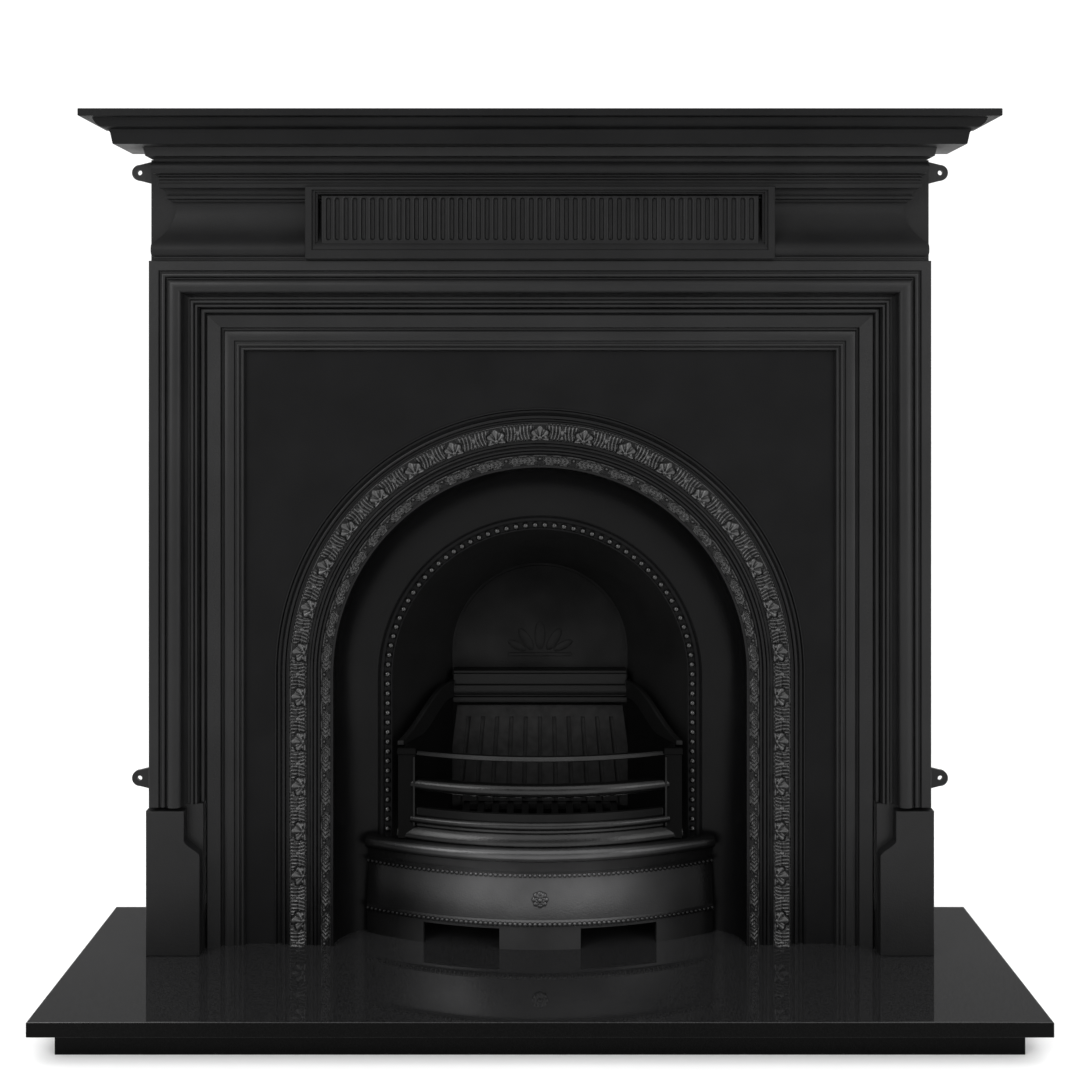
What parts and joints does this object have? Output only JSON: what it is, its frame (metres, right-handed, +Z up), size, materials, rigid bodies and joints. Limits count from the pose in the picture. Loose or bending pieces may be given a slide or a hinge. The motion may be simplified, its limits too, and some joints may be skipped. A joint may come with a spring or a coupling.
{
  "type": "fireplace surround",
  "caption": "Cast-iron fireplace: moulded surround with fluted frieze and shelf, arched insert with beaded inner arch, fire basket and ash pit cover, on a granite hearth.",
  "frame": {"origin": "middle of the bounding box's underside, which is the plinth's underside on the floor", "axes": "+X to the right as seen from the room, +Y from the room into the chimney, +Z up; the front faces -Y"},
  "size_m": [1.372, 0.4722, 1.301],
  "materials": {
    "iron": "black-leaded cast iron, satin, brighter on the high points",
    "granite": "polished black granite, near mirror",
    "firebrick": "dull dark fireclay"
  },
  "bodies": {
    "root": {"hearth_slab": "granite", "hearth_plinth": "granite", "surround_frame": "iron", "frieze": "iron", "mantel_shelf": "iron", "foot_block_left": "iron", "foot_block_right": "iron", "side_cheek_left": "iron", "side_cheek_right": "iron", "fixing_lug_lower_left": "iron", "fixing_lug_lower_right": "iron", "fixing_lug_upper_left": "iron", "fixing_lug_upper_right": "iron", "insert_plate": "iron", "inner_arch": "iron", "firebox": "iron", "fireback": "iron", "flue_collar": "iron", "hob_rail": "iron", "firebrick": "firebrick", "bottom_grate": "iron", "grate_front": "iron", "ashpit_cover": "iron"}
  },
  "joints": []
}
